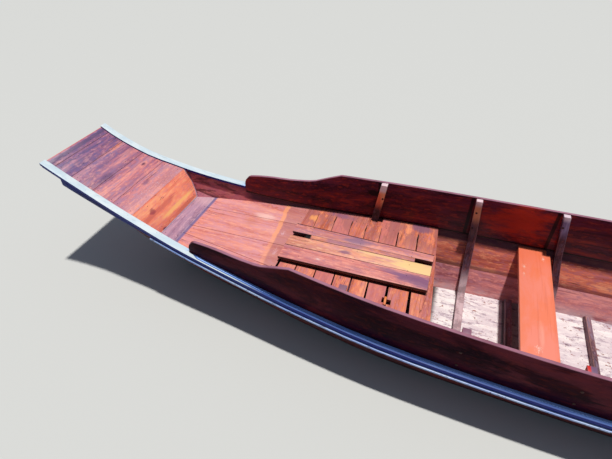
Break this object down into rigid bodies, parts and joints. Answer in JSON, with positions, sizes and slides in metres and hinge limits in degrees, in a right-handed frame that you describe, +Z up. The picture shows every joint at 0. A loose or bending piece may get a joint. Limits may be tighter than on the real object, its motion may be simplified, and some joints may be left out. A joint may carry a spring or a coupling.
{
  "type": "longtail boat",
  "caption": "Shallow planked wooden boat with a raised bow deck, washboards, thwarts and a slatted floor, and a swivelling stern motor with a long tail tube.",
  "frame": {"origin": "amidships on the centreline, at the level of the water", "axes": "+X to the bow, +Y to port, +Z up"},
  "size_m": [9.968, 1.4872, 1.2934],
  "materials": {
    "varnish": "worn varnish",
    "dark_varnish": "dark gloss varnish",
    "floor_wood": "worn, sun bleached",
    "grating_wood": "worn varnish",
    "frame_wood": "worn",
    "inner_planks": "oiled",
    "bottom_paint": "worn paint",
    "red_paint": "worn paint",
    "rail_blue": "pale paint, darker amidships",
    "navy_paint": "gloss paint",
    "steel_paint": "worn paint",
    "galvanised": "dull zinc",
    "cast_alloy": "as cast",
    "tank_paint": "gloss",
    "black_plastic": "moulded",
    "heat_steel": "heat stained",
    "rubber_grip": "ribbed",
    "bronze": "dull"
  },
  "bodies": {
    "hull": {"washboard_port": "dark_varnish", "washboard_starboard": "dark_varnish", "strake_lower_port": "inner_planks", "strake_lower_starboard": "inner_planks", "strake_upper_port": "inner_planks", "strake_upper_starboard": "inner_planks", "rail_port": "rail_blue", "rail_starboard": "rail_blue", "cheek_board_port": "navy_paint", "cheek_board_starboard": "navy_paint", "rub_strip_port": "rail_blue", "rub_strip_starboard": "rail_blue", "hull_bottom": "bottom_paint", "bow_end_board": "varnish", "stern_end_board": "varnish", "bow_deck": "varnish", "bow_ramp": "varnish", "ramp_foot_plank": "varnish", "stern_ramp": "varnish", "stern_deck": "varnish", "thwart_middle": "varnish", "thwart_aft": "varnish", "thwart_red": "red_paint", "frame_1": "frame_wood", "frame_2": "frame_wood", "frame_3": "frame_wood", "frame_4": "frame_wood", "frame_5": "frame_wood", "frame_6": "frame_wood", "floor_timber_1": "frame_wood", "floor_timber_2": "frame_wood", "floor_timber_3": "frame_wood", "floor_planks": "floor_wood", "stern_floor": "floor_wood", "grating": "grating_wood", "seat_board_starboard": "grating_wood", "seat_board_middle": "grating_wood", "seat_board_port": "grating_wood", "seat_bearers": "grating_wood", "mount_block": "dark_varnish", "mount_socket": "galvanised"},
    "swivel": {"swivel_yoke": "galvanised"},
    "motor": {"motor_cradle": "steel_paint", "crankcase": "cast_alloy", "drive_housing": "cast_alloy", "recoil_cover": "tank_paint", "cylinder": "cast_alloy", "fuel_tank": "tank_paint", "air_cleaner": "black_plastic", "muffler": "heat_steel", "tail_tube": "galvanised", "skeg": "galvanised", "tiller": "steel_paint", "tiller_grip": "rubber_grip"},
    "propeller": {"propeller": "bronze"}
  },
  "joints": [
    {"name": "motor_swivel", "type": "hinge", "parent": "hull", "child": "swivel", "pos_m": [-3.6, 0, 0.7], "axis": [0, 0, 1], "range_deg": [-40, 40]},
    {"name": "motor_tilt", "type": "hinge", "parent": "swivel", "child": "motor", "pos_m": [-3.6, 0, 0.778], "axis": [0, -1, 0], "range_deg": [-5, 27]},
    {"name": "propeller_spin", "type": "hinge", "parent": "motor", "child": "propeller", "pos_m": [-6.01, 0, 0.836], "axis": [1, 0, 0], "continuous": true}
  ]
}
